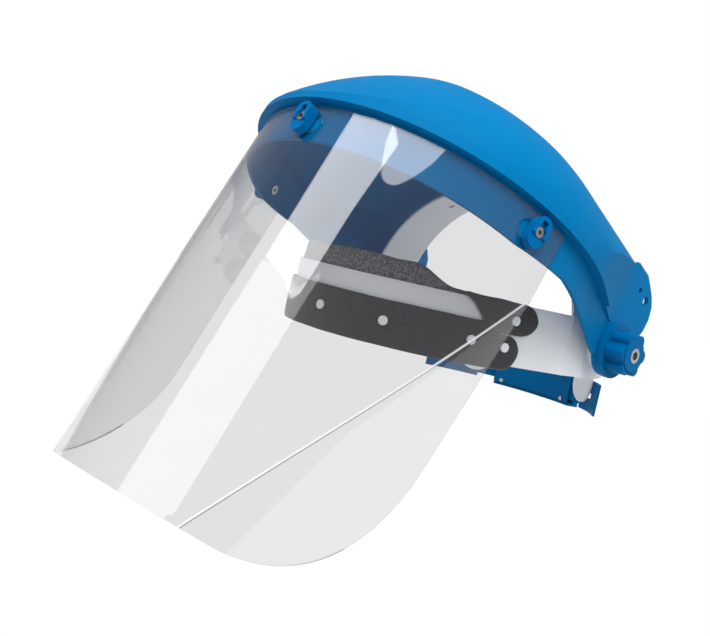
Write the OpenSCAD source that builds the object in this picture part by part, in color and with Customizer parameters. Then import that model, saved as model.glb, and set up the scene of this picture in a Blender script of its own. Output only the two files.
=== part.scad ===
// Face shield: tilting brow guard with a curved clear visor, on a ratchet headband.
// Frame: +Z up, the wearer faces -Y, +X is the wearer's left, the origin is midway between the tilt pivots.

/* [Visor] */
// radius of the visor's outer face in plan
visor_radius = 115.5; // [95:0.5:135]
// thickness of the clear sheet
visor_thickness = 1.0; // [0.6:0.1:2]
// height of the sheet from its top edge to its lower edge
visor_height = 227; // [190:1:275]
// half of the angle the sheet wraps round the face
visor_half_angle = 81.5; // [76:0.5:90]
// radius of the two lower corners, measured on the flat sheet
corner_radius = 84; // [40:1:90]
// height of the sheet's top edge over the tilt axis
visor_top = 9; // [8:0.5:11]
// angle the sheet is creased inward at its lower left corner
crease_angle = 12; // [0.5:0.5:18]
// how far down the left edge the crease starts
crease_start = 40; // [30:1:80]
// where the crease meets the lower edge, measured round the sheet from the front
crease_foot = 64.5; // [50:0.5:75]

/* [Brow guard] */
// angle the guard is raised from its lowest position as stored
tilt_angle = 25; // [0:1:60]
// distance from the tilt axis forward to the centre of the guard's front arc
arc_offset = 95; // [80:1:110]
// wall thickness of the skirt behind the visor
skirt_wall = 2.4; // [1.6:0.1:3.5]
// wall thickness of the dome
dome_wall = 2.5; // [1.8:0.1:3.5]
// height of the dome over its lip
dome_rise = 67.5; // [62:0.5:80]
// radius of the ball that rounds off the dome's front
roof_radius = 180.5; // [176:0.5:186]
// how far the lip stands out past the dome's foot
lip_overhang = 2.6; // [1:0.1:6]
// thickness of the lip over the visor's top edge
lip_thickness = 4.2; // [3:0.1:6]
// depth of the skirt below the tilt axis at the front
skirt_drop = 12; // [11:0.5:16]
// height of the ear holes over the tilt axis
ear_hole_height = 42; // [38:0.5:43]
// radius of the larger ear hole
ear_hole_radius = 3.2; // [2:0.1:3.6]
// radius of the smaller ear hole
ear_small_radius = 2.0; // [1.2:0.1:2.5]

/* [Pivots] */
// distance from the centre plane to the outer face of each arm
arm_face = 98.5; // [96:0.5:101]
// thickness of each arm at its pivot
arm_thickness = 3.0; // [2:0.1:4]
// radius of the pivot bolt's shank
bolt_radius = 2.5; // [2:0.1:4]
// radius of the round pad of the arm round its pivot
pivot_pad_radius = 16.5; // [14:0.5:18]
// radius of the knob's flange
knob_flange_radius = 17; // [14:0.5:20]
// thickness of the knob's flange
knob_flange_thickness = 3.4; // [2:0.1:5]
// length of the whole knob
knob_length = 16.5; // [14:0.5:22]
// distance of each grip lobe's centre from the knob's axis
lobe_offset = 9.6; // [8:0.1:11]
// radius of each grip lobe
lobe_radius = 4.2; // [3:0.1:5]
// outer radius of the steel insert
insert_radius = 4.6; // [4:0.1:5.5]

/* [Headband] */
// outside radius of the band's front arc
band_front_radius = 78; // [74:0.5:80]
// outside radius of the band's rear arc, and so its half width at the temples
band_half_width = 89.2; // [88:0.1:91]
// thickness of the band
band_thickness = 1.6; // [1.2:0.1:2.5]
// distance from the tilt axis forward to the centre of the band's front arc
band_front_offset = 72; // [60:1:85]
// distance from the tilt axis forward to the centre of the band's rear arc
band_rear_offset = 13; // [10:1:16]
// top edge of the front strap
band_top = 14.5; // [10:0.5:15]
// bottom edge of the front strap
band_bottom = -18.5; // [-19.5:0.5:-14]
// top edge of the temple plates
plate_top = 15.5; // [15:0.5:18]
// bottom edge of the temple plates
plate_bottom = -20.5; // [-23:0.5:-20]
// radius of the boss that carries the bolt
boss_radius = 11; // [8:0.5:13]
// width of the crown strap
crown_width = 38; // [24:1:38]
// height of the crown arc's centre
crown_centre = -4; // [-8:0.5:-3]

/* [Sweatband] */
// thickness of the foam inside the band
foam_thickness = 4.0; // [2:0.5:6]
// height the foam stands to
foam_top = 31; // [20:1:34]
// thickness of the cloth flap outside the band
flap_thickness = 2.4; // [1.5:0.1:3]
// top edge of the flap outside the band
flap_top = 3; // [-2:1:5]

/* [Nape] */
// top edge of the nape strap
nape_top = -26; // [-27:0.5:-24]
// height of the nape strap
nape_height = 21; // [19:0.5:24]
// thickness of each nape strap
nape_thickness = 1.6; // [1.2:0.1:2]
// radius of the ratchet knob
ratchet_knob_radius = 14; // [12.5:0.5:17]
// half of the angle the ratchet housing covers
housing_half_angle = 22; // [22:1:26]
// radius of the ratchet's hub
hub_radius = 4.0; // [3:0.1:4.4]

/* [Clips] */
// angle of each side clip from the front
clip_angle = 71.5; // [64:0.5:73]
// height of the clips against the tilt axis
clip_height = -2; // [-2.5:0.1:-1]
// length of each clip's lever
clip_length = 18; // [15:0.5:20]
// width of each clip's lever
clip_width = 10; // [8:0.5:11]
// radius of the hollow rivets
rivet_radius = 2.0; // [1.5:0.1:2.4]

/* [Hidden] */
$fn = 72;
gap = 0.3;              // still gap between pieces of different bodies
run_gap = 0.05;         // radial clearance of a running fit
skirt_face = visor_radius - visor_thickness - gap;
dome_foot = visor_radius + 2.3;
skirt_taper = 14;       // angle of the arms below the lip
dome_taper = 17;        // angle of the arms above the lip
lip_bottom = visor_top + 2.5;
lip_top = lip_bottom + lip_thickness;
visor_bottom = visor_top - visor_height;
peg_stem = 1.6;
rear_cut = 140;
side_reach = 130;
skirt_in = skirt_face - skirt_wall;
skirt_side_drop = 7;
ledge_end = -36;
washer_thickness = 1.4;
face_gap = 0.15;
arm_inner = arm_face - arm_thickness;
washer_outer = arm_inner - face_gap;
boss_face = washer_outer - washer_thickness - 0.05;
boss_back = band_half_width - band_thickness - 2.1;
head_radius = 6.5;
head_height = 2.6;
knob_start = arm_face + face_gap;
knob_end = knob_start + knob_length;
bolt_end = knob_end - 4;
band_in = band_half_width - band_thickness;
rear_tail_angle = 66;
tab_width_angle = 18;
tab_drop = 22.5;
tab_round = 14;         // radius of the tab's rounded foot
nape_bottom = nape_top - nape_height;
nape_mid = nape_top - nape_height / 2;
strap_l_in = band_half_width + 0.4;
strap_l_out = strap_l_in + nape_thickness;
strap_r_in = strap_l_out + 0.4;
strap_r_out = strap_r_in + nape_thickness;
strap_start = 34;
tongue_reach = 98;
tongue_half = 8;
slot_half = peg_stem + gap;
strap_slot_start = 47.8;
strap_slot_end = 58.6;
hub_slot_start = 78;
hub_slot_end = 94.2;
channel_in = strap_l_in - 0.4;
channel_out = strap_r_out + 0.4;
housing_in = channel_in - 1.6;
housing_out = channel_out + 4.4;
housing_lip = 1.8;
channel_half = nape_height / 2 + 0.4;
housing_half = channel_half + housing_lip;
knob_face = -band_rear_offset + housing_out + 0.6;
shaft_radius = 3.0;
crown_inner = band_in - 0.5;
crown_overlap = 12;
crown_mid = -11;
flat_front = -32;       // front end of the temple's flat part
flare = 13;             // angle the band flares out at between its front arc and the temples
front_in = band_front_radius - band_thickness;
seam = 1.2;             // half length of each blend between an arc and a flat
proud = 0.15;           // how far each blend stands out
rim = 0.1;              // and past the strap's edges
roof_back = 59;         // distance of that ball's centre forward of the tilt axis
roof_drop = 77;         // and below it
crown_hole = 2.1;
foam_out = front_in - 0.4;
foam_in = foam_out - foam_thickness;
flap_in = band_front_radius + 0.4;
flap_out = flap_in + flap_thickness;
foam_bottom = plate_bottom - 0.6;
fold = 2.6;
upper_reach = 30;       // how far the foam runs back along the temples above
lower_reach = 15;       // and below
peg_head = flap_out + 0.1;
lever_in = visor_radius + 0.25;
lever_out = lever_in + 7;
clip_hub = 4.0;
rivet_flange = 3.2;
rivet_bore = 1.1;
screw_radius = 1.4;
screw_shank = 0.6;

headband();
sweatband();
crown_pins();
pivot_bolts();
pivot_washers();
nape_housing();
nape_cover();
housing_screws();
nape_strap_left();
nape_strap_right();
nape_knob();
nape_hub();
brow_guard();
visor();
clip_rivets();
clip_left();
clip_centre();
clip_right();
pivot_knob_left();
knob_insert_left();
pivot_knob_right();
knob_insert_right();

// ---- helpers ----

// puts the guard's own frame, with the visor hanging straight down, into the stored pose
module tilted() { rotate([-tilt_angle, 0, 0]) children(); }

// a cylinder along +X from x0 to x1
module rod_x(r, x0, x1) {
    translate([x0, 0, 0]) rotate([0, 90, 0]) cylinder(r = r, h = x1 - x0, $fn = r < 6 ? 24 : 72);
}

// a cylinder along +Y from y0 to y1 at height z
module rod_y(r, y0, y1, z) { translate([0, y0, z]) rotate([-90, 0, 0]) cylinder(r = r, h = y1 - y0); }

// a ring sector about the Z axis, from angle a0 to a1 and height z0 to z1
module sector(r0, r1, a0, a1, z0, z1) {
    translate([0, 0, z0]) rotate([0, 0, a0]) rotate_extrude(angle = a1 - a0)
        translate([r0, 0]) square([r1 - r0, z1 - z0]);
}

// closed outline in plan: a front arc that runs on into two arms tapering in to the pivots
module outline(r, taper, half) {
    x = r * cos(taper);
    y = r * sin(taper);
    translate([0, -arc_offset]) {
        circle(r = r, $fn = 120);
        polygon([[x, y], [half, y + (x - half) / tan(taper)], [half, rear_cut], [-half, rear_cut],
            [-half, y + (x - half) / tan(taper)], [-x, y]]);
    }
}

// side view of the whole guard, drawn in Y and Z and swept across the width
module side_view() {
    rotate([90, 0, 90]) translate([0, 0, -side_reach]) linear_extrude(2 * side_reach) {
        polygon([[-240, -skirt_drop], [-135, -skirt_drop], [-95, -skirt_side_drop], [-12.5, -10.8], [12, -11.3],
            [16.4, 5], [20, 18], [23, 27], [23, 35.5], [20, 43], [14.5, 48], [7.5, 51.6], [0, 55],
            [-12, 60.5], [-25, 68], [-61, 96], [-61, 140], [-240, 140]]);
        circle(r = pivot_pad_radius);
    }
}

// filled dome: turned at the front and straight behind, with a rounded roof, trimmed to the plan outline
module dome_fill(inset) {
    foot = dome_foot - inset;
    rise = dome_rise - inset;
    up = [for (a = [0 : 6 : 90]) [foot * cos(a), rise * sin(a)]];
    down = [for (a = [84 : -6 : 0]) [-foot * cos(a), rise * sin(a)]];
    intersection() {
        translate([0, 0, lip_bottom - inset]) linear_extrude(dome_rise + 40) outline(foot, dome_taper, arm_face - inset);
        translate([0, -arc_offset, lip_top - 1]) union() {
            rotate_extrude($fn = 90) polygon(concat([[0, -30], [foot, -30]], up));
            translate([0, rear_cut, 0]) rotate([90, 0, 0]) linear_extrude(rear_cut)
                polygon(concat([[-foot, -30], [foot, -30]], up, down));
        }
        translate([0, -roof_back, -roof_drop]) sphere(r = roof_radius - inset, $fn = 90);
    }
}

// places its children on the guard's front arc, with +X pointing outward
module on_arc(angle) {
    translate([0, -arc_offset, clip_height]) rotate([0, 0, angle - 90]) children();
}

// ---- headgear ----

module headband() {
    color([0.93, 0.94, 0.94]) difference() {
        union() {
            translate([0, -band_front_offset, 0])
                sector(front_in, band_front_radius, 180 + flare + 0.8, 360 - flare - 0.8, band_bottom, band_top);
            for (s = [0, 1]) mirror([s, 0, 0]) temple();
            crown_left();
            crown_right();
            for (a = [-66, -30, 0, 30, 66]) peg(a, -9);
            for (s = [0, 1]) mirror([s, 0, 0]) along_flare() {
                translate([0, 12, 6]) peg_shape();
                translate([0, 8, -10]) peg_shape();
            }
        }
        rod_x(bolt_radius + 0.1, -side_reach, side_reach);
        for (a = [60, 72, 84, 96, 108, 120]) crown_bore(a);
    }
}

// places its children where the front arc ends, +Y back along the flared part and X = 0 on the arc's centre
module along_flare() {
    translate([0, -band_front_offset, 0]) rotate([0, 0, -flare]) children();
}

// length of the flared part of the band
function flare_length() = (band_front_offset + flat_front + band_front_radius * sin(flare)) / cos(flare);

// one temple: flared part, flat plate, boss, rear tail and the tab the nape strap hooks on
module temple() {
    along_flare() {
        translate([front_in, seam / 2, plate_bottom])
            cube([band_thickness, flare_length() - seam / 2 - 0.6, plate_top - plate_bottom]);
        translate([front_in - proud, -seam * 1.5, band_bottom - rim])
            cube([band_thickness + 2 * proud, 3 * seam, band_top - band_bottom + 2 * rim]);
    }
    translate([band_in, flat_front + seam / 2, plate_bottom])
        cube([band_thickness, -flat_front - band_rear_offset - seam, plate_top - plate_bottom]);
    for (y = [flat_front, -band_rear_offset]) translate([band_in - proud, y - 1.5 * seam, plate_bottom - rim])
        cube([band_thickness + 2 * proud, 3 * seam, plate_top - plate_bottom - (y > flat_front ? 1 : 0) + 2 * rim]);
    rod_x(boss_radius, boss_back, boss_face);
    translate([0, -band_rear_offset, 0]) {
        difference() {
            sector(band_in, band_half_width, 0.8, rear_tail_angle, plate_bottom - tab_drop, plate_top - 1);
            sector(band_in - 5, band_half_width + 5, 13, rear_tail_angle + 10, -7, plate_top + 5);
            sector(band_in - 5, band_half_width + 5, -6, rear_tail_angle - tab_width_angle,
                plate_bottom - tab_drop - 5, plate_bottom);
            rotate([0, 0, rear_tail_angle - tab_width_angle / 2]) difference() {
                translate([60, -25, plate_bottom - tab_drop - 5]) cube([50, 50, 5 + tab_round]);
                translate([0, 0, plate_bottom - tab_drop + tab_round + 0.3]) rod_x(tab_round, 55, 115);
            }
        }
        rotate([0, 0, rear_tail_angle - tab_width_angle / 2]) translate([0, 0, nape_mid])
            rod_x(peg_stem, band_half_width - 0.5, strap_r_out + 0.8);
    }
}

// round arc over the head, between two radii and two angles
module crown_arc(r0, r1, a0, a1) {
    translate([0, crown_mid + crown_width / 2, crown_centre]) rotate([90, 0, 0])
        sector(r0, r1, a0, a1, 0, crown_width);
}

// pad that joins the foot of a crown strap to its temple plate
module crown_foot(depth) {
    translate([band_half_width - depth, crown_mid - crown_width / 2 + 0.5, 9])
        cube([depth + proud, crown_width - 1, 5]);
}

module crown_left() {
    crown_arc(band_in - 0.2, band_half_width - 0.2, 11.5, 90 + crown_overlap);
    crown_foot(3.4);
}

module crown_right() {
    crown_arc(crown_inner - band_thickness, crown_inner, 90 - crown_overlap, 168.5);
    mirror([1, 0, 0]) crown_foot(4.8);
}

// hole through the crown straps at an angle round the arc
module crown_bore(a) {
    translate([0, crown_mid, crown_centre]) rotate([0, -a, 0]) rod_x(crown_hole, band_in - 8, band_half_width + 5);
}

module peg(a, z) {
    translate([0, -band_front_offset, z]) rotate([0, 0, a - 90]) peg_shape();
}

module peg_shape() {
    rod_x(peg_stem, band_front_radius - 0.5, peg_head + 0.5);
    rod_x(2.7, peg_head, peg_head + 1.1);
}

// section of the foam with its fold and the cloth flap outside the band, standing proud by p
module foam_section(p, top) {
    polygon([[foam_in - p, foam_bottom - fold - p], [flap_out + p, foam_bottom - fold - p],
        [flap_out + p, flap_top + p], [flap_in - p / 2, flap_top + p], [flap_in - p / 2, foam_bottom + p / 2],
        [foam_out + p / 2, foam_bottom + p / 2], [foam_out + p / 2, top + p], [foam_in - p, top + p]]);
}

module sweatband() {
    foam_mid = plate_top + 1;
    color([0.16, 0.16, 0.17]) difference() {
        union() {
            translate([0, -band_front_offset, 0]) difference() {
                rotate([0, 0, 180 + flare + 0.8]) rotate_extrude(angle = 180 - 2 * flare - 1.6)
                    foam_section(0, foam_top);
                for (a = [180 + flare - 5, 338 - flare])
                    sector(foam_in - 3, foam_out + 3, a, a + 27, foam_mid, foam_top + 5);
            }
            for (s = [0, 1]) mirror([s, 0, 0]) along_flare() {
                translate([0, 1.5 * seam, 0]) rotate([90, 0, 0]) linear_extrude(3 * seam)
                    foam_section(proud, foam_mid);
                translate([0, lower_reach, 0]) rotate([90, 0, 0]) linear_extrude(lower_reach - seam)
                    foam_section(0, foam_mid);
                translate([foam_in + 0.1, lower_reach - 1, foam_bottom + 0.1])
                    cube([foam_thickness - 0.2, upper_reach - lower_reach + 1, foam_mid - foam_bottom - 0.2]);
            }
        }
        for (a = [-66, -30, 0, 30, 66]) translate([0, -band_front_offset, -9]) rotate([0, 0, a - 90])
            rod_x(peg_stem + 0.3, band_front_radius, peg_head + 2);
        for (s = [0, 1]) mirror([s, 0, 0]) along_flare() translate([0, 8, -10])
            rod_x(peg_stem + 0.3, band_front_radius, peg_head + 2);
    }
}

module crown_pins() {
    color([0.9, 0.91, 0.91]) for (a = [84, 96])
        translate([0, crown_mid, crown_centre]) rotate([0, -a, 0]) {
            rod_x(crown_hole - 0.15, crown_inner - band_thickness - 0.2, band_half_width);
            rod_x(3.6, band_half_width - 0.1, band_half_width + 1.3);
            rod_x(2.9, crown_inner - band_thickness - 1.2, crown_inner - band_thickness - 0.1);
        }
}

module pivot_bolts() {
    color([0.72, 0.72, 0.74]) for (s = [0, 1]) mirror([s, 0, 0]) {
        rod_x(head_radius, boss_back - head_height, boss_back);
        rod_x(bolt_radius, boss_back - 1, bolt_end);
    }
}

module pivot_washers() {
    color([0.12, 0.12, 0.13]) for (s = [0, 1]) mirror([s, 0, 0]) difference() {
        rod_x(boss_radius - 1, washer_outer - washer_thickness, washer_outer);
        rod_x(bolt_radius + 0.1, 0, side_reach);
    }
}

// ---- nape ratchet ----

module at_nape() { translate([0, -band_rear_offset, nape_mid]) children(); }

// ring sector centred on the nape strap's mid height
module nape_arc(r0, r1, a0, a1, half) { sector(r0, r1, a0, a1, -half, half); }

module nape_housing() {
    a0 = 90 - housing_half_angle;
    a1 = 90 + housing_half_angle;
    color([0.02, 0.33, 0.62]) difference() {
        at_nape() difference() {
            nape_arc(housing_in + 1.4, housing_out, a0, a1, housing_half);
            nape_arc(housing_in, channel_out, a0 - 1, a1 + 1, channel_half);
            at_screws() rod_x(screw_shank + run_gap, channel_in - 4, channel_out + 3);
        }
        rod_y(shaft_radius + run_gap, 0, side_reach, nape_mid);
    }
}

module nape_cover() {
    color([0.02, 0.33, 0.62]) at_nape() difference() {
        nape_arc(housing_in, housing_in + 1.3, 90 - housing_half_angle, 90 + housing_half_angle, nape_height / 2);
        at_screws() rod_x(screw_shank + run_gap, housing_in - 2, channel_out);
    }
}

// the four screws stand above and below the two tongues, clear of their travel
module at_screws() {
    for (s = [-1, 1]) for (h = [-1, 1]) translate([0, 0, h * (tongue_half + screw_shank + gap)])
        rotate([0, 0, 90 + s * (housing_half_angle - 4)]) children();
}

module housing_screws() {
    color([0.6, 0.6, 0.62]) at_nape() at_screws() {
        difference() {
            rod_x(screw_radius, housing_in - 1.1, housing_in - 0.05);
            translate([housing_in - 1.2, -0.3, -1.1]) cube([0.6, 0.6, 2.2]);
        }
        rod_x(screw_shank, housing_in - 0.2, channel_out + 2.5);
    }
}

// one strap, drawn for the wearer's left, whose tongue runs into the ratchet housing
module nape_strap(r0, r1) {
    at_nape() difference() {
        union() {
            nape_arc(r0, r1, strap_start, 90 - housing_half_angle - 9, nape_height / 2);
            nape_arc(r0, r1, 90 - housing_half_angle - 10, tongue_reach, tongue_half);
        }
        nape_arc(r0 - 1, r1 + 1, strap_slot_start, strap_slot_end, slot_half);
        nape_arc(r0 - 1, r1 + 1, hub_slot_start, hub_slot_end, hub_radius + 0.6);
    }
}

module nape_strap_left() {
    color([0.0, 0.30, 0.56]) nape_strap(strap_l_in, strap_l_out);
}

module nape_strap_right() {
    color([0.0, 0.30, 0.56]) mirror([1, 0, 0]) nape_strap(strap_r_in, strap_r_out);
}

module nape_hub() {
    color([0.85, 0.85, 0.86]) {
        rod_y(hub_radius, channel_in - band_rear_offset + 0.6, channel_out - band_rear_offset - 0.3, nape_mid);
        rod_y(shaft_radius, channel_out - band_rear_offset - 0.4, knob_face + 5, nape_mid);
    }
}

module nape_knob() {
    color([0.02, 0.33, 0.62]) difference() {
        union() {
            rod_y(ratchet_knob_radius - 1.2, knob_face, knob_face + 9, nape_mid);
            rod_y(ratchet_knob_radius, knob_face, knob_face + 2.2, nape_mid);
            for (a = [0 : 30 : 330]) translate([0, 0, nape_mid]) rotate([0, a, 0])
                translate([ratchet_knob_radius - 1.6, knob_face, 0]) rotate([-90, 0, 0])
                    cylinder(r = 1.6, h = 8, $fn = 24);
        }
        rod_y(shaft_radius, knob_face - 1, knob_face + 5, nape_mid);
        rod_y(ratchet_knob_radius - 4.5, knob_face + 7.6, knob_face + 10, nape_mid);
    }
}

// ---- guard ----

module brow_guard() {
    color([0.0, 0.42, 0.78]) tilted() difference() {
        union() {
            intersection() {
                side_view();
                union() {
                    difference() {
                        translate([0, 0, -40]) linear_extrude(40 + lip_top)
                            outline(skirt_face, skirt_taper, arm_face);
                        translate([0, 0, -41]) linear_extrude(60 + lip_top)
                            outline(skirt_in, skirt_taper, arm_face - skirt_wall);
                    }
                    difference() {
                        dome_fill(0);
                        dome_fill(dome_wall);
                    }
                    for (s = [0, 1]) mirror([s, 0, 0]) translate([arm_inner, -15, -40])
                        cube([arm_thickness, 60, 95]);
                }
            }
            lip();
            for (a = [-clip_angle, 0, clip_angle]) on_arc(a) rod_x(5.2, skirt_in - 0.6, skirt_face - 0.5);
        }
        rod_x(bolt_radius + run_gap, -side_reach, side_reach);
        for (a = [-clip_angle, 0, clip_angle]) on_arc(a) rod_x(rivet_radius + 0.1, skirt_in - 5, skirt_face + 5);
        translate([0, 10.5, ear_hole_height]) rod_x(ear_hole_radius, -side_reach, side_reach);
        translate([0, -0.5, ear_hole_height + 1.5]) rod_x(ear_small_radius, -side_reach, side_reach);
    }
}

// ledge over the visor's top edge, running on down the outside of both arms
module lip() {
    intersection() {
        translate([0, 0, lip_bottom]) linear_extrude(lip_thickness) difference() {
            outline(dome_foot + lip_overhang, dome_taper, arm_face + lip_overhang);
            outline(skirt_in + 0.2, skirt_taper, arm_face - skirt_wall + 0.2);
        }
        translate([-side_reach, -240, 0]) cube([2 * side_reach, 240 + ledge_end, 60]);
    }
}

// The sheet is laid out flat as s round the face from the front and z down it, then bent.
// The last columns crowd together where the lower corners turn up.
sheet_mid = visor_radius - visor_thickness / 2;
sheet_reach = visor_half_angle * PI / 180 * sheet_mid;
columns = concat([for (k = [0 : 20]) -sheet_reach + corner_radius * (1 - cos(4.5 * k))],
    [for (k = [1 : 11]) (sheet_reach - corner_radius) * (k / 6 - 1)],
    [for (k = [0 : 20]) sheet_reach - corner_radius * (1 - sin(4.5 * k))]);
upper_rows = 14;
lower_rows = 9;
rows = upper_rows + lower_rows + 1;

// lower edge of the sheet at s, turned up at the corners
function sheet_foot(s) = let (t = max(0, abs(s) - sheet_reach + corner_radius))
    visor_bottom + corner_radius - sqrt(max(0, corner_radius * corner_radius - t * t));
crease_slope = (visor_height - crease_start) / (sheet_reach - crease_foot);
function crease_line(s) = visor_bottom + (s - crease_foot) * crease_slope;

// the row of points that follows the crease where there is one
function split_row(s) = max(crease_line(s), sheet_foot(s) + 3);
function row_height(s, j) = j <= upper_rows
    ? visor_top + (split_row(s) - visor_top) * j / upper_rows
    : split_row(s) + (sheet_foot(s) - split_row(s)) * (j - upper_rows) / lower_rows;
function bent_in(s, z) = tan(crease_angle) * max(0, crease_line(s) - z) / sqrt(1 + crease_slope * crease_slope);
function sheet_point(s, z, r) = let (a = s / sheet_mid * 180 / PI, q = r - bent_in(s, z))
    [q * sin(a), -arc_offset - q * cos(a), z];

module sheet() {
    n = len(columns);
    skin = [for (r = [visor_radius, visor_radius - visor_thickness]) for (s = columns) for (j = [0 : rows - 1])
        sheet_point(s, row_height(s, j), r)];
    under = n * rows;
    outer = [for (i = [0 : n - 2]) for (j = [0 : rows - 2]) let (k = i * rows + j)
        for (f = [[k, k + 1, k + rows], [k + 1, k + rows + 1, k + rows]]) f];
    inner = [for (f = outer) [f[0] + under, f[2] + under, f[1] + under]];
    rim = concat([for (i = [0 : n - 1]) i * rows], [for (j = [1 : rows - 1]) (n - 1) * rows + j],
        [for (i = [n - 2 : -1 : 0]) i * rows + rows - 1], [for (j = [rows - 2 : -1 : 1]) j]);
    m = len(rim);
    edge = [for (k = [0 : m - 1]) let (a = rim[k], b = rim[(k + 1) % m])
        for (f = [[a, b, a + under], [b, b + under, a + under]]) f];
    polyhedron(points = skin, faces = concat(outer, inner, edge), convexity = 6);
}

module visor() {
    color([0.85, 0.9, 0.93, 0.35]) tilted() difference() {
        sheet();
        for (a = [-clip_angle, 0, clip_angle]) on_arc(a) window();
    }
}

// opening in the sheet that a turned clip passes through
module window() {
    for (s = [-1, 1]) translate([0, s * (clip_length - clip_width) / 2, 0])
        rod_x(clip_width / 2 + 0.5, visor_radius - 10, visor_radius + 10);
    translate([visor_radius - 10, -(clip_length - clip_width) / 2, -clip_width / 2 - 0.5])
        cube([20, clip_length - clip_width, clip_width + 1]);
}

module clip_rivets() {
    color([0.75, 0.75, 0.77]) tilted() for (a = [-clip_angle, 0, clip_angle]) on_arc(a) difference() {
        union() {
            rod_x(rivet_flange, skirt_in - 1.4, skirt_in - 0.6);
            rod_x(rivet_radius, skirt_in - 1, lever_out - 1.2);
            rod_x(rivet_flange - 0.3, lever_out - 1.7, lever_out - 1.2);
        }
        rod_x(rivet_bore, skirt_in - 5, lever_out + 1);
    }
}

// one quarter-turn clip: hub through the sheet, lever outside it, slot across its end
module clip() {
    half = (clip_length - clip_width) / 2;
    difference() {
        union() {
            rod_x(clip_hub, skirt_face + 0.15, lever_in + 1);
            for (s = [-1, 1]) translate([0, 0, s * half]) rod_x(clip_width / 2, lever_in, lever_out - 1.6 * (1 - s) / 2);
            translate([lever_in, -clip_width / 2, -half]) cube([lever_out - lever_in - 1.6, clip_width, 2 * half]);
            translate([lever_in, -clip_width / 2, -2]) cube([lever_out - lever_in, clip_width, half + 2]);
        }
        rod_x(rivet_radius + run_gap, skirt_in, lever_out + 5);
        rod_x(rivet_flange, lever_out - 2.0, lever_out + 5);
        translate([lever_out - 2.6, -1.9, 1]) cube([5, 3.8, half + 1.5]);
    }
}

module clip_left() { color([0.0, 0.38, 0.72]) tilted() on_arc(clip_angle) clip(); }
module clip_centre() { color([0.0, 0.38, 0.72]) tilted() on_arc(0) clip(); }
module clip_right() { color([0.0, 0.38, 0.72]) tilted() on_arc(-clip_angle) clip(); }

// ---- pivot knobs ----

module knob() {
    difference() {
        union() {
            rod_x(knob_flange_radius, knob_start, knob_start + knob_flange_thickness);
            rod_x(lobe_offset + 0.6, knob_start, knob_end);
            for (a = [0 : 60 : 300]) rotate([a, 0, 0]) translate([0, lobe_offset, 0])
                rod_x(lobe_radius, knob_start, knob_end - 0.8);
        }
        rod_x(insert_radius, knob_start - 1, knob_end + 1);
    }
}

module knob_insert() {
    difference() {
        rod_x(insert_radius, knob_start, knob_end + 0.4);
        rod_x(bolt_radius + run_gap, knob_start - 1, knob_end + 1);
    }
}

module pivot_knob_left() { color([0.0, 0.40, 0.74]) knob(); }
module knob_insert_left() { color([0.75, 0.75, 0.77]) knob_insert(); }
module pivot_knob_right() { color([0.0, 0.40, 0.74]) mirror([1, 0, 0]) knob(); }
module knob_insert_right() { color([0.75, 0.75, 0.77]) mirror([1, 0, 0]) knob_insert(); }
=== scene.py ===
import math

import bpy
from mathutils import Matrix, Vector


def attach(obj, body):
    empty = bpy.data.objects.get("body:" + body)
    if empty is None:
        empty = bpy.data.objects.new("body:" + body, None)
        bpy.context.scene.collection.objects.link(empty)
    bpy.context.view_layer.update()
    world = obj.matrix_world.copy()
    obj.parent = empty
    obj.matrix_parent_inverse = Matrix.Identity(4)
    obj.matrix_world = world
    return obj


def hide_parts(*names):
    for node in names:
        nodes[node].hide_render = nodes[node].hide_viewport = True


MM = 0.001
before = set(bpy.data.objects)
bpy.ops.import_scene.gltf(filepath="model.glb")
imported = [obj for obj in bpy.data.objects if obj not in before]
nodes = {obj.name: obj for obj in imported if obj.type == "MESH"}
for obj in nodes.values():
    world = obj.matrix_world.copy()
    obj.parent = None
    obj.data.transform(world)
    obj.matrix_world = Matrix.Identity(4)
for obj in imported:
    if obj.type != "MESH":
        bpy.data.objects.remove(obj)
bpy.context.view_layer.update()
scene = bpy.context.scene


# ---- materials ----

GLOW_DEPTH = 0.004                  # how far light soaks into the white plastic
SHEET_INDEX = 1.58                  # polycarbonate
SHEET_LEAN = math.radians(25)       # how far the visor stands up from hanging straight
SHEET_AXIS = 0.095                  # from the pivot forward to the axis the sheet is bent round
CREASE_RISE, CREASE_BASE = 0.217, -0.3397   # the crease's rise per radian round the sheet, and its height at 0
CREASE_FROM = 0.5                   # angle round the sheet past which the crease can lie
CREASE_SHADE_HALF_WIDTH, CREASE_HIGHLIGHT_HALF_WIDTH = 0.0007, 0.0009     # half widths of its painted shade line and its painted highlight line
CREASE_SHADE_TO_HIGHLIGHT = 0.0016               # from the painted shade line up to the painted highlight line
SIDE_FROM = 0.09                    # from the middle out to the sheet's side edges


def material(name):
    m = bpy.data.materials.new(name)
    m.use_nodes = True
    tree = m.node_tree
    return m, tree, tree.nodes["Principled BSDF"]


def noise(tree, scale, detail=4.0, rough=0.55, stretch=None):
    """Noise in the object's own coordinates, scale in waves per metre."""
    co = tree.nodes.new("ShaderNodeTexCoord")
    source = co.outputs["Object"]
    if stretch:
        mapping = tree.nodes.new("ShaderNodeMapping")
        mapping.inputs["Scale"].default_value = stretch
        tree.links.new(source, mapping.inputs["Vector"])
        source = mapping.outputs["Vector"]
    n = tree.nodes.new("ShaderNodeTexNoise")
    n.inputs["Scale"].default_value = scale
    n.inputs["Detail"].default_value = detail
    n.inputs["Roughness"].default_value = rough
    tree.links.new(source, n.inputs["Vector"])
    return n.outputs["Fac"]


def ramp(tree, fac, stops):
    r = tree.nodes.new("ShaderNodeValToRGB")
    e = r.color_ramp.elements
    while len(e) < len(stops):
        e.new(0.5)
    for item, (at, value) in zip(e, stops):
        item.position = at
        item.color = (*value, 1) if isinstance(value, tuple) else (value, value, value, 1)
    tree.links.new(fac, r.inputs["Fac"])
    return r.outputs["Color"]


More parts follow.
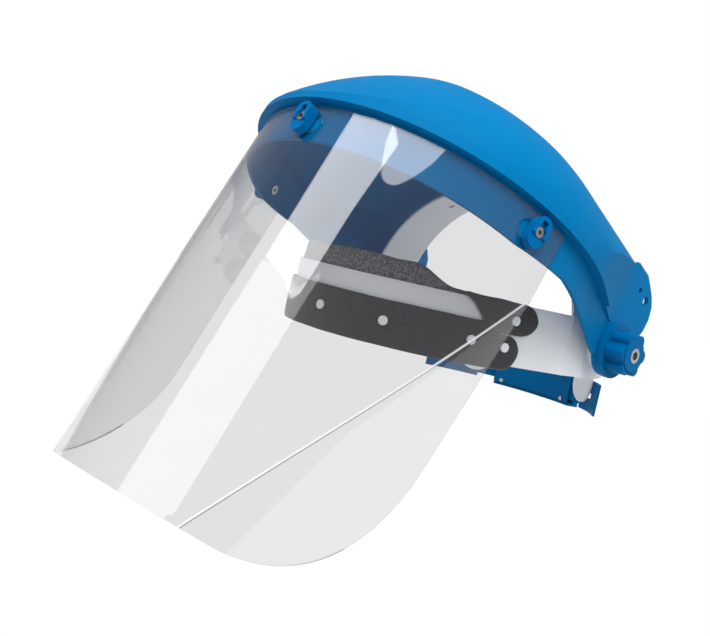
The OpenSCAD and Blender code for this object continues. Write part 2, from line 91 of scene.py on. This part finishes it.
def bump(tree, bsdf, height, strength, distance, under=None):
    b = tree.nodes.new("ShaderNodeBump")
    b.inputs["Strength"].default_value = strength
    b.inputs["Distance"].default_value = distance
    tree.links.new(height, b.inputs["Height"])
    if under:
        tree.links.new(under, b.inputs["Normal"])
    tree.links.new(b.outputs["Normal"], bsdf.inputs["Normal"])
    return b.outputs["Normal"]


def plastic(name, dark, light, rough=0.4, grain=2600, depth=0.00006, glow=0.0):
    """Moulded plastic: slow colour drift, fine spark-eroded grain and faint scuffs in its gloss.

    glow is the share of light that soaks in, for plastic that isn't quite opaque.
    """
    m, tree, p = material(name)
    drift = noise(tree, 22, 3)
    tree.links.new(ramp(tree, drift, [(0.3, dark), (0.7, light)]), p.inputs["Base Color"])
    scuffs = noise(tree, 150, 6, 0.7, (1, 1, 3))
    tree.links.new(ramp(tree, scuffs, [(0.35, rough - 0.07), (0.7, rough + 0.1)]), p.inputs["Roughness"])
    soft = bump(tree, p, noise(tree, 60, 2), 0.25, 0.0003)
    bump(tree, p, noise(tree, grain, 3), 0.35, depth, soft)
    p.inputs["IOR"].default_value = 1.36
    p.inputs["Specular IOR Level"].default_value = 0.05
    if glow:
        p.inputs["Subsurface Weight"].default_value = glow
        p.inputs["Subsurface Radius"].default_value = (GLOW_DEPTH, GLOW_DEPTH, GLOW_DEPTH)
        p.inputs["Subsurface Scale"].default_value = 1.0
    return m


def metal(name, color, rough, stretch):
    m, tree, p = material(name)
    lines = noise(tree, 900, 5, 0.6, stretch)
    shade = tuple(c * 0.78 for c in color)
    tree.links.new(ramp(tree, lines, [(0.3, shade), (0.7, color)]), p.inputs["Base Color"])
    tree.links.new(ramp(tree, lines, [(0.3, rough), (0.75, rough + 0.15)]), p.inputs["Roughness"])
    bump(tree, p, lines, 0.3, 0.00004)
    p.inputs["Metallic"].default_value = 1.0
    return m


def rubber(name):
    m, tree, p = material(name)
    fine = noise(tree, 1500, 4)
    tree.links.new(ramp(tree, fine, [(0.3, 0.012), (0.7, 0.03)]), p.inputs["Base Color"])
    p.inputs["Roughness"].default_value = 0.7
    bump(tree, p, fine, 0.4, 0.00008)
    return m


def clear_sheet(name):
    """Polycarbonate sheet: see-through, mirror-like by Fresnel, with grey cut edges, faint haze, and its crease
    drawn as a painted shade line with a painted highlight line beside it.
    """
    m, tree, p = material(name)
    link = tree.links.new
    out = tree.nodes["Material Output"]
    p.inputs["Base Color"].default_value = (0.0, 0.0, 0.0, 1)
    p.inputs["Roughness"].default_value = 0.03
    clear = tree.nodes.new("ShaderNodeBsdfTransparent")
    clear.inputs["Color"].default_value = (0.895, 0.896, 0.899, 1)
    mirror = tree.nodes.new("ShaderNodeBsdfGlossy")
    mirror.inputs["Color"].default_value = (1, 1, 1, 1)
    haze = noise(tree, 35, 5, 0.6)
    link(ramp(tree, haze, [(0.3, 0.012), (0.8, 0.05)]), mirror.inputs["Roughness"])
    fresnel = tree.nodes.new("ShaderNodeFresnel")
    # the ray isn't bent, so the way out of the sheet mirrors as little as the way in
    facing = tree.nodes.new("ShaderNodeNewGeometry")
    index = tree.nodes.new("ShaderNodeMapRange")
    index.inputs["To Min"].default_value = SHEET_INDEX
    index.inputs["To Max"].default_value = 1 / SHEET_INDEX
    link(facing.outputs["Backfacing"], index.inputs["Value"])
    link(index.outputs["Result"], fresnel.inputs["IOR"])
    face = tree.nodes.new("ShaderNodeMixShader")
    link(fresnel.outputs["Fac"], face.inputs["Fac"])
    link(clear.outputs["BSDF"], face.inputs[1])
    link(mirror.outputs["BSDF"], face.inputs[2])
    # the cut edges face along the bend's axis, or straight back at the two sides
    co = tree.nodes.new("ShaderNodeTexCoord")

    def math_node(kind, a, b):
        n = tree.nodes.new("ShaderNodeMath")
        n.operation = kind
        for slot, value in ((0, a), (1, b)):
            if isinstance(value, float):
                n.inputs[slot].default_value = value
            elif value is not None:
                link(value, n.inputs[slot])
        return n.outputs["Value"]

    def along(socket, direction):
        n = tree.nodes.new("ShaderNodeVectorMath")
        n.operation = "DOT_PRODUCT"
        n.inputs[1].default_value = direction
        link(socket, n.inputs[0])
        return n.outputs["Value"]

    up_sheet = (0, math.sin(SHEET_LEAN), math.cos(SHEET_LEAN))
    through_sheet = (0, math.cos(SHEET_LEAN), -math.sin(SHEET_LEAN))
    upward = math_node("ABSOLUTE", along(co.outputs["Normal"], up_sheet), None)
    backward = along(co.outputs["Normal"], through_sheet)
    aside = math_node("ABSOLUTE", along(co.outputs["Object"], (1, 0, 0)), None)
    at_side = math_node("MULTIPLY", math_node("GREATER_THAN", backward, 0.8),
                        math_node("GREATER_THAN", aside, SIDE_FROM))
    rim = math_node("MAXIMUM", math_node("GREATER_THAN", upward, 0.6), at_side)
    # grey for the cut edges, also used at a third of its weight for the crease's painted shade line
    edge = tree.nodes.new("ShaderNodeBsdfPrincipled")
    saw = noise(tree, 1200, 3)
    link(ramp(tree, saw, [(0.3, (0.10, 0.105, 0.11)), (0.7, (0.26, 0.265, 0.27))]), edge.inputs["Base Color"])
    edge.inputs["Roughness"].default_value = 0.35
    # the crease across the lower left corner, found on the sheet laid flat, is painted as two lines: a painted
    # shade line and a painted highlight line just above it
    sheet_y = math_node("ADD", along(co.outputs["Object"], through_sheet), SHEET_AXIS)
    sheet_z = along(co.outputs["Object"], up_sheet)
    round_it = math_node("ARCTAN2", along(co.outputs["Object"], (1, 0, 0)),
                         math_node("MULTIPLY", sheet_y, -1.0))
    crease_z = math_node("ADD", math_node("MULTIPLY", round_it, CREASE_RISE), CREASE_BASE)
    above_crease = math_node("SUBTRACT", sheet_z, crease_z)
    off_crease = math_node("ABSOLUTE", above_crease, None)
    off_crease_highlight = math_node("ABSOLUTE", math_node("SUBTRACT", above_crease, CREASE_SHADE_TO_HIGHLIGHT), None)
    # painted highlight: a bright line just above the crease, standing in for the light the bend catches
    crease_highlight = math_node("MULTIPLY", math_node("LESS_THAN", off_crease_highlight, CREASE_HIGHLIGHT_HALF_WIDTH),
                      math_node("GREATER_THAN", round_it, CREASE_FROM))
    # painted shade: a dark line along the crease, standing in for the shade in the bend
    crease_shade = math_node("MULTIPLY", math_node("LESS_THAN", off_crease, CREASE_SHADE_HALF_WIDTH),
                       math_node("GREATER_THAN", round_it, CREASE_FROM))
    # mix factor: the cut edges' grey, and at 0.35 the crease's painted shade line
    rim_and_crease_shade = math_node("MAXIMUM", math_node("MULTIPLY", rim, 0.9), math_node("MULTIPLY", crease_shade, 0.35))
    with_crease_shade = tree.nodes.new("ShaderNodeMixShader")
    link(rim_and_crease_shade, with_crease_shade.inputs["Fac"])
    link(face.outputs["Shader"], with_crease_shade.inputs[1])
    link(edge.outputs["BSDF"], with_crease_shade.inputs[2])
    # a near-white diffuse shader for the crease's painted highlight line, mixed in at 0.55
    crease_highlight_shader = tree.nodes.new("ShaderNodeBsdfPrincipled")
    crease_highlight_shader.inputs["Base Color"].default_value = (0.97, 0.97, 0.97, 1)
    crease_highlight_shader.inputs["Roughness"].default_value = 0.3
    with_crease_highlight = tree.nodes.new("ShaderNodeMixShader")
    link(math_node("MULTIPLY", crease_highlight, 0.55), with_crease_highlight.inputs["Fac"])
    link(with_crease_shade.outputs["Shader"], with_crease_highlight.inputs[1])
    link(crease_highlight_shader.outputs["BSDF"], with_crease_highlight.inputs[2])
    link(with_crease_highlight.outputs["Shader"], out.inputs["Surface"])
    return m


def foam(name, dark, light, scale, depth):
    """Open-cell foam or brushed cloth: speckled pores over a slow drift."""
    m, tree, p = material(name)
    co = tree.nodes.new("ShaderNodeTexCoord")
    pores = tree.nodes.new("ShaderNodeTexVoronoi")
    pores.inputs["Scale"].default_value = scale
    tree.links.new(co.outputs["Object"], pores.inputs["Vector"])
    fuzz = noise(tree, scale * 0.8, 6, 0.7)
    mixed = tree.nodes.new("ShaderNodeMath")
    mixed.operation = "MULTIPLY"
    tree.links.new(pores.outputs["Distance"], mixed.inputs[0])
    tree.links.new(fuzz, mixed.inputs[1])
    tree.links.new(ramp(tree, mixed.outputs["Value"], [(0.08, dark), (0.4, light)]), p.inputs["Base Color"])
    p.inputs["Roughness"].default_value = 0.95
    p.inputs["Sheen Weight"].default_value = 0.35
    p.inputs["Sheen Roughness"].default_value = 0.5
    soft = bump(tree, p, noise(tree, 120, 3), 0.5, 0.0008)
    bump(tree, p, mixed.outputs["Value"], 0.9, depth, soft)
    return m


BLUE = plastic("guard_blue", (0.0, 0.165, 0.40), (0.0, 0.18, 0.43), 0.46)
KNOB = plastic("knob_blue", (0.0, 0.125, 0.33), (0.0, 0.15, 0.38), 0.36)
CLIP = plastic("clip_blue", (0.0, 0.12, 0.34), (0.0, 0.145, 0.39), 0.33)
NAPE = plastic("nape_blue", (0.0, 0.12, 0.31), (0.0, 0.145, 0.36), 0.42)
WHITE = plastic("band_white", (0.88, 0.895, 0.91), (0.93, 0.94, 0.95), 0.38, 1800, 0.00004, 0.25)
PIN = plastic("pin_white", (0.62, 0.64, 0.66), (0.72, 0.73, 0.75), 0.35, 1800, 0.00004, 0.2)
FOAM = foam("foam_grey", (0.03, 0.03, 0.031), (0.24, 0.24, 0.245), 800, 0.0006)
CLOTH = foam("cloth_charcoal", (0.006, 0.006, 0.007), (0.045, 0.043, 0.047), 1500, 0.0003)
STEEL = metal("zinc_steel", (0.62, 0.62, 0.63), 0.25, (1, 1, 1))
NICKEL = metal("nickel", (0.74, 0.73, 0.71), 0.14, (1, 1, 1))
RUBBER = rubber("washer_black")
CLEAR = clear_sheet("clear_visor")

LOOKS = {
    "brow_guard": BLUE, "visor": CLEAR, "headband": WHITE, "crown_pins": PIN, "pivot_bolts": STEEL,
    "pivot_washers": RUBBER, "nape_housing": NAPE, "nape_cover": NAPE, "housing_screws": STEEL,
    "nape_strap_left": NAPE, "nape_strap_right": NAPE, "nape_knob": KNOB, "nape_hub": STEEL,
    "clip_rivets": NICKEL, "clip_left": CLIP, "clip_centre": CLIP, "clip_right": CLIP,
    "pivot_knob_left": KNOB, "pivot_knob_right": KNOB, "knob_insert_left": STEEL,
    "knob_insert_right": STEEL, "sweatband": CLOTH,
}
for name, looks in LOOKS.items():
    slots = nodes[name].data.materials
    for k in range(len(slots)):
        slots[k] = looks
    if not slots:
        slots.append(looks)


# the imported faces are split along every CAD edge; joining them and shading by angle rounds the curved walls
shading = bpy.data.node_groups.new("shade_by_angle", "GeometryNodeTree")
shading.interface.new_socket("Geometry", in_out="INPUT", socket_type="NodeSocketGeometry")
shading.interface.new_socket("Geometry", in_out="OUTPUT", socket_type="NodeSocketGeometry")
g_in, g_out = shading.nodes.new("NodeGroupInput"), shading.nodes.new("NodeGroupOutput")
drop = shading.nodes.new("GeometryNodeRemoveAttribute")
drop.inputs["Name"].default_value = "custom_normal"
weld = shading.nodes.new("GeometryNodeMergeByDistance")
weld.inputs["Distance"].default_value = 0.00002
angle = shading.nodes.new("GeometryNodeInputMeshEdgeAngle")
gentle = shading.nodes.new("FunctionNodeCompare")
gentle.operation = "LESS_THAN"
gentle.inputs["B"].default_value = math.radians(24)
by_edge = shading.nodes.new("GeometryNodeSetShadeSmooth")
by_edge.domain = "EDGE"
whole_face = shading.nodes.new("GeometryNodeSetShadeSmooth")
shading.links.new(g_in.outputs[0], drop.inputs["Geometry"])
shading.links.new(drop.outputs["Geometry"], weld.inputs["Geometry"])
shading.links.new(weld.outputs["Geometry"], whole_face.inputs["Geometry"])
shading.links.new(whole_face.outputs["Geometry"], by_edge.inputs["Geometry"])
shading.links.new(angle.outputs["Unsigned Angle"], gentle.inputs["A"])
shading.links.new(gentle.outputs["Result"], by_edge.inputs["Shade Smooth"])
shading.links.new(by_edge.outputs["Geometry"], g_out.inputs[0])
for name in LOOKS:
    rounded = nodes[name].modifiers.new("shade", "NODES")
    rounded.node_group = shading


# ---- sweatband: foam inside the band and a cloth flap outside it ----

# lengths in mm here, as in part.scad
BAND_R, BAND_Y, FLARE = 78.0, -72.0, math.radians(13)
ARC = (math.pi / 2 - FLARE) * BAND_R    # arc length from the front to where the band flares out
DEG = BAND_R * math.pi / 180            # arc length of one degree round the front
STEP = 2.4                              # length of one ring of a strip
FOAM_END, FLAP_END, LOBE_START, LOBE_END = ARC + 27, ARC + 20, 60 * DEG, ARC + 30
FOLD_END = FLAP_END - 8
FOAM_MID, FOAM_DOWN, FOAM_TALL = -3, 18.0, 26.8     # middle height, drop below it, and top at the front
FOAM_IN, FOAM_OUT = -6.2, -1.9
FLAP_MID, FLAP_DOWN, FLAP_TOP = -12, 11.4, 3.0
CLOTH_IN, CLOTH_OUT = 0.35, 2.7         # the cloth lies outside the band between these two
LOBE_MID, LOBE_TOP, LOBE_DROP = 6.5, 14.5, 17.0     # middle height, and how its lower edge comes down


def on_band(s, off, z):
    """Point at arc length s from the front, standing off outward from the band's outer face, in mm."""
    side = 1 if s >= 0 else -1
    s = abs(s)
    a = min(s, ARC) / BAND_R
    x = (BAND_R + off) * math.sin(a)
    y = BAND_Y - (BAND_R + off) * math.cos(a)
    if s > ARC:
        x += (s - ARC) * math.cos(a)
        y += (s - ARC) * math.sin(a)
    return Vector((side * x, y, z)) * MM


def smooth(t):
    """0 to 1 with level ends."""
    t = min(max(t, 0.0), 1.0)
    return t * t * (3 - 2 * t)


def strip(name, s0, s1, low, high, inner, outer, step, mat, power=3.0, around=20):
    """Closed padded strip along the band from s0 to s1; low, high, inner and outer are functions of s."""
    count = max(8, int((s1 - s0) / step))
    verts, faces = [], []
    for i in range(count + 1):
        s = s0 + (s1 - s0) * i / count
        zl, zh, ri, ro = low(s), high(s), inner(s), outer(s)
        for k in range(around):
            t = 2 * math.pi * k / around
            c, d = math.cos(t), math.sin(t)
            u = math.copysign(abs(c) ** (2 / power), c)
            v = math.copysign(abs(d) ** (2 / power), d)
            verts.append(on_band(s, (ri + ro) / 2 + (ro - ri) / 2 * u,
                                 (zl + zh) / 2 + (zh - zl) / 2 * v))
    for i in range(count):
        for k in range(around):
            a, b = i * around + k, i * around + (k + 1) % around
            faces.append((a, b, b + around, a + around))
    faces.append(tuple(range(around - 1, -1, -1)))
    faces.append(tuple(count * around + k for k in range(around)))
    mesh = bpy.data.meshes.new(name)
    mesh.from_pydata([tuple(v) for v in verts], [], faces)
    mesh.update()
    obj = bpy.data.objects.new(name, mesh)
    scene.collection.objects.link(obj)
    mesh.materials.append(mat)
    for poly in mesh.polygons:
        poly.use_smooth = True
    sub = obj.modifiers.new("round", "SUBSURF")
    sub.levels = sub.render_levels = 1
    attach(obj, "headgear")
    return obj


def taper(s, end, reach, power=2.0):
    """Share of the height left near a rounded end."""
    t = max(0.0, (abs(s) - (end - reach)) / reach)
    return max(0.02, (1 - min(t, 1.0) ** power)) ** 0.5


def wave(s, z=0.0):
    """Slow unevenness along the strip, in mm; z shifts it."""
    return 0.35 * math.sin(s / 9.0 + z) + 0.2 * math.sin(s / 4.1 + 1.3 + z)


def foam_high(s):
    a = abs(s) / DEG
    tall = FOAM_TALL - 10.0 * smooth((a - 37) / 20)
    if abs(s) > ARC:
        tall -= 1.2 * (abs(s) - ARC) / 24
    return tall + wave(s) * 0.8


def flap_top(s):
    return FLAP_TOP + 0.35 * wave(s, 1) - 6.0 * smooth((abs(s) - (ARC - 6)) / 12)


def lobe_low(s):
    t = smooth((abs(s) - LOBE_START) / (ARC - LOBE_START))
    edge = LOBE_TOP - LOBE_DROP * t
    return LOBE_MID - (LOBE_MID - edge) * taper(s, LOBE_END, 12) if edge < LOBE_MID else edge


def lobe_high(s):
    top = foam_high(s) + 0.2
    return LOBE_MID + (top - LOBE_MID) * taper(s, LOBE_END, 12)


inner_foam = strip(
    "sweatband_foam", -FOAM_END, FOAM_END,
    lambda s: FOAM_MID - FOAM_DOWN * taper(s, FOAM_END, 9),
    lambda s: FOAM_MID + (foam_high(s) - FOAM_MID) * taper(s, FOAM_END, 9),
    lambda s: FOAM_IN + 0.15 * wave(s, 2), lambda s: FOAM_OUT, STEP, FOAM, 3.4)

strip(
    "sweatband_flap", -FLAP_END, FLAP_END,
    lambda s: FLAP_MID - (FLAP_DOWN + 0.2 * wave(s)) * taper(s, FLAP_END, 10),
    lambda s: FLAP_MID + (flap_top(s) - FLAP_MID) * taper(s, FLAP_END, 10),
    lambda s: CLOTH_IN, lambda s: CLOTH_OUT + 0.1 * wave(s), STEP, CLOTH, 4.0)

# the ends of the cloth that are folded over the foam's two ends
for tag, start, end in (("left", LOBE_START, LOBE_END), ("right", -LOBE_END, -LOBE_START)):
    strip("sweatband_lobe_" + tag, start, end, lobe_low, lobe_high,
          lambda s: CLOTH_IN, lambda s: CLOTH_OUT + 0.12 * wave(s, 3), 1.8, CLOTH, 3.2)

# the fold that carries the foam over the band's lower edge to the flap
strip("sweatband_fold", -FOLD_END, FOLD_END, lambda s: -23.4 + 0.1 * wave(s), lambda s: -20.8,
      lambda s: -5.8, lambda s: 2.5, STEP, CLOTH, 2.6, 14)
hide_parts("sweatband")


# ---- studio ----

def panel(name, place, aim, width, height, power):
    """Softbox at place, facing aim; the camera doesn't see it."""
    data = bpy.data.lights.new(name, "AREA")
    data.shape = "RECTANGLE"
    data.size, data.size_y, data.energy = width, height, power
    obj = bpy.data.objects.new(name, data)
    scene.collection.objects.link(obj)
    obj.location = place
    obj.rotation_mode = "QUATERNION"
    obj.rotation_quaternion = (Vector(aim) - Vector(place)).to_track_quat("-Z", "Y")
    obj.visible_camera = False
    return obj


# the room: white where the camera sees it, grey in reflections and pale as light
world = bpy.data.worlds.new("studio")
scene.world = world
world.use_nodes = True
wt = world.node_tree
background = wt.nodes["Background"]
path = wt.nodes.new("ShaderNodeLightPath")
fill = wt.nodes.new("ShaderNodeMix")
fill.data_type = "RGBA"
mirrored = wt.nodes.new("ShaderNodeMix")
mirrored.data_type = "RGBA"
mirrored.inputs["A"].default_value = (0.62, 0.63, 0.65, 1)
mirrored.inputs["B"].default_value = (0.34, 0.34, 0.35, 1)
wt.links.new(path.outputs["Is Glossy Ray"], mirrored.inputs["Factor"])
wt.links.new(mirrored.outputs["Result"], fill.inputs["A"])
fill.inputs["B"].default_value = (1.0, 1.0, 1.0, 1)
wt.links.new(path.outputs["Is Camera Ray"], fill.inputs["Factor"])
wt.links.new(fill.outputs["Result"], background.inputs["Color"])
background.inputs["Strength"].default_value = 1.0

sky = bpy.data.lights.new("overhead", "SUN")
sky.energy, sky.angle = 2.1, math.radians(50)
sky_obj = bpy.data.objects.new("overhead", sky)
scene.collection.objects.link(sky_obj)
sky_obj.rotation_euler = (math.radians(18), math.radians(12), 0)

FLOOR, FLOOR_Z = 30, -0.6
floor_mesh = bpy.data.meshes.new("floor")
floor_mesh.from_pydata([(-FLOOR, -FLOOR, FLOOR_Z), (FLOOR, -FLOOR, FLOOR_Z), (FLOOR, FLOOR, FLOOR_Z),
                        (-FLOOR, FLOOR, FLOOR_Z)], [], [(0, 1, 2, 3)])
floor_obj = bpy.data.objects.new("floor", floor_mesh)
scene.collection.objects.link(floor_obj)
fm, ft, fp = material("floor_pale")
ft.links.new(ramp(ft, noise(ft, 2, 2), [(0.3, (0.0, 0.0, 0.0)), (0.7, (0.01, 0.01, 0.01))]),
             fp.inputs["Base Color"])
fp.inputs["Roughness"].default_value = 1.0
fp.inputs["Specular IOR Level"].default_value = 0.0
fp.inputs["Emission Color"].default_value = (1, 1, 1, 1)
fp.inputs["Emission Strength"].default_value = 1.0
floor_mesh.materials.append(fm)
floor_obj.visible_diffuse = False

key = panel("softbox_key", (0.9, -0.6, 1.1), (0, -0.1, 0), 0.8, 0.8, 8)
# two tall boxes that only show as the long white reflections down the visor
high = panel("softbox_high", (-0.178, -1.257, 1.097), (0, -0.25, 0), 0.9, 0.40, 5.6)
low = panel("softbox_low", (-0.137, -1.555, 0.727), (0, -0.25, 0), 1.15, 0.58, 3.8)
for box in (high, low):
    box.visible_diffuse = False
key.visible_glossy = False

# ---- camera, at the photograph's viewing angle ----
AZ, EL, ROLL = math.radians(44.948), math.radians(3.657), math.radians(12.553)
TARGET, DISTANCE, LENS = Vector((-0.17804, 0.05488, -0.02989)), 0.84984, 50.9
back = Vector((math.sin(AZ) * math.cos(EL), -math.cos(AZ) * math.cos(EL), math.sin(EL)))
right = Vector((math.cos(AZ), math.sin(AZ), 0))
up = back.cross(right)
cam_x = math.cos(ROLL) * right + math.sin(ROLL) * up
cam_y = -math.sin(ROLL) * right + math.cos(ROLL) * up
cam_data = bpy.data.cameras.new("camera")
cam_data.sensor_width = 36
cam_data.lens = LENS
cam = bpy.data.objects.new("camera", cam_data)
scene.collection.objects.link(cam)
spot = TARGET + back * DISTANCE
cam.matrix_world = Matrix((
    (cam_x.x, cam_y.x, back.x, spot.x), (cam_x.y, cam_y.y, back.y, spot.y),
    (cam_x.z, cam_y.z, back.z, spot.z), (0, 0, 0, 1)))
cam_data.clip_start, cam_data.clip_end = 0.01, 100
scene.camera = cam
scene.view_settings.view_transform = "Standard"

bpy.context.view_layer.update()
